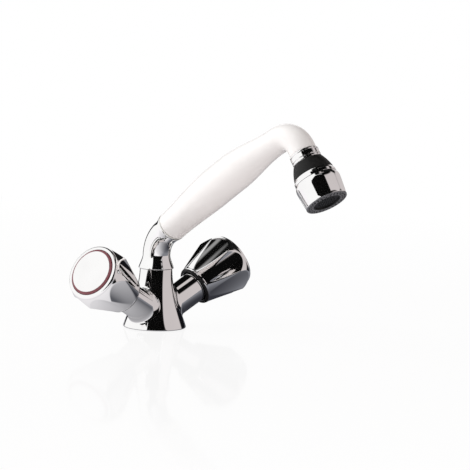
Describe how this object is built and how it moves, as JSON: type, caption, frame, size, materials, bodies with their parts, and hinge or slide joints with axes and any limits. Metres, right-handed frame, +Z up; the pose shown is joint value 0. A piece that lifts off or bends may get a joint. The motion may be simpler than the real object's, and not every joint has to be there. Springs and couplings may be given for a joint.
{
  "type": "two handle kitchen faucet",
  "caption": "Two handle kitchen mixer tap: chrome conical body, fluted knobs on angled arms, swivelling elbow and a white docked pull-out hand spray with a spray selector.",
  "frame": {"origin": "centre of the round foot at deck level, on the spout's swivel axis", "axes": "+Z up; -Y towards the outlet, so +Y is the back; -X towards the hot handle, +X towards the cold one"},
  "size_m": [0.1722, 0.2211, 0.1736],
  "materials": {
    "chrome": "polished",
    "grip_white": "gloss",
    "ring_red": "gloss",
    "ring_blue": "gloss",
    "face_grey": "satin",
    "aerator_black": "satin",
    "brass": "machined",
    "steel": "machined",
    "ceramic": "lapped",
    "rubber": "matte",
    "acetal": "satin",
    "hose_plastic": "satin"
  },
  "bodies": {
    "tap": {"body": "chrome", "deck_gasket": "rubber", "hot_headwork": "brass", "hot_headwork_seal": "rubber", "hot_seat_seal": "rubber", "hot_fixed_disc": "ceramic", "cold_headwork": "brass", "cold_headwork_seal": "rubber", "cold_seat_seal": "rubber", "cold_fixed_disc": "ceramic"},
    "elbow": {"elbow": "chrome", "swivel_bush": "acetal", "stop_screw": "steel", "dock_insert": "acetal"},
    "hand_spray": {"grip_shell": "grip_white", "hose_connector": "brass", "non_return_valve": "acetal", "water_tube": "hose_plastic", "neck_union": "brass", "union_seal": "rubber", "neck_collar": "chrome", "head_shell": "chrome", "head_core": "acetal", "upper_core_seal": "rubber", "lower_core_seal": "rubber"},
    "selector": {"selector_drum": "chrome", "spray_face": "face_grey", "aerator_housing": "aerator_black", "aerator_mesh": "aerator_black"},
    "hot_handle": {"hot_knob": "chrome", "hot_spindle": "brass", "hot_moving_disc": "ceramic", "hot_spindle_seal": "rubber", "hot_knob_screw": "steel", "hot_index_ring": "ring_red", "hot_index_cap": "chrome"},
    "cold_handle": {"cold_knob": "chrome", "cold_spindle": "brass", "cold_moving_disc": "ceramic", "cold_spindle_seal": "rubber", "cold_knob_screw": "steel", "cold_index_ring": "ring_blue", "cold_index_cap": "chrome"}
  },
  "joints": [
    {"name": "spout_swivel", "type": "hinge", "parent": "tap", "child": "elbow", "pos_m": [0, 0, 0.047], "axis": [0, 0, 1], "range_deg": [-70, 70]},
    {"name": "spray_pull", "type": "slide", "parent": "elbow", "child": "hand_spray", "axis": [0, -0.7934, 0.6088], "range_m": [0, 0.3]},
    {"name": "spray_select", "type": "hinge", "parent": "hand_spray", "child": "selector", "pos_m": [0, -0.15749, 0.15268], "axis": [0, -0.5948, -0.8039], "range_deg": [0, 90]},
    {"name": "hot_turn", "type": "hinge", "parent": "tap", "child": "hot_handle", "pos_m": [0, 0, 0.009], "axis": [-0.875, -0.0981, 0.4741], "range_deg": [0, 90]},
    {"name": "cold_turn", "type": "hinge", "parent": "tap", "child": "cold_handle", "pos_m": [0, 0, 0.009], "axis": [0.875, -0.0981, 0.4741], "range_deg": [0, 90]}
  ]
}
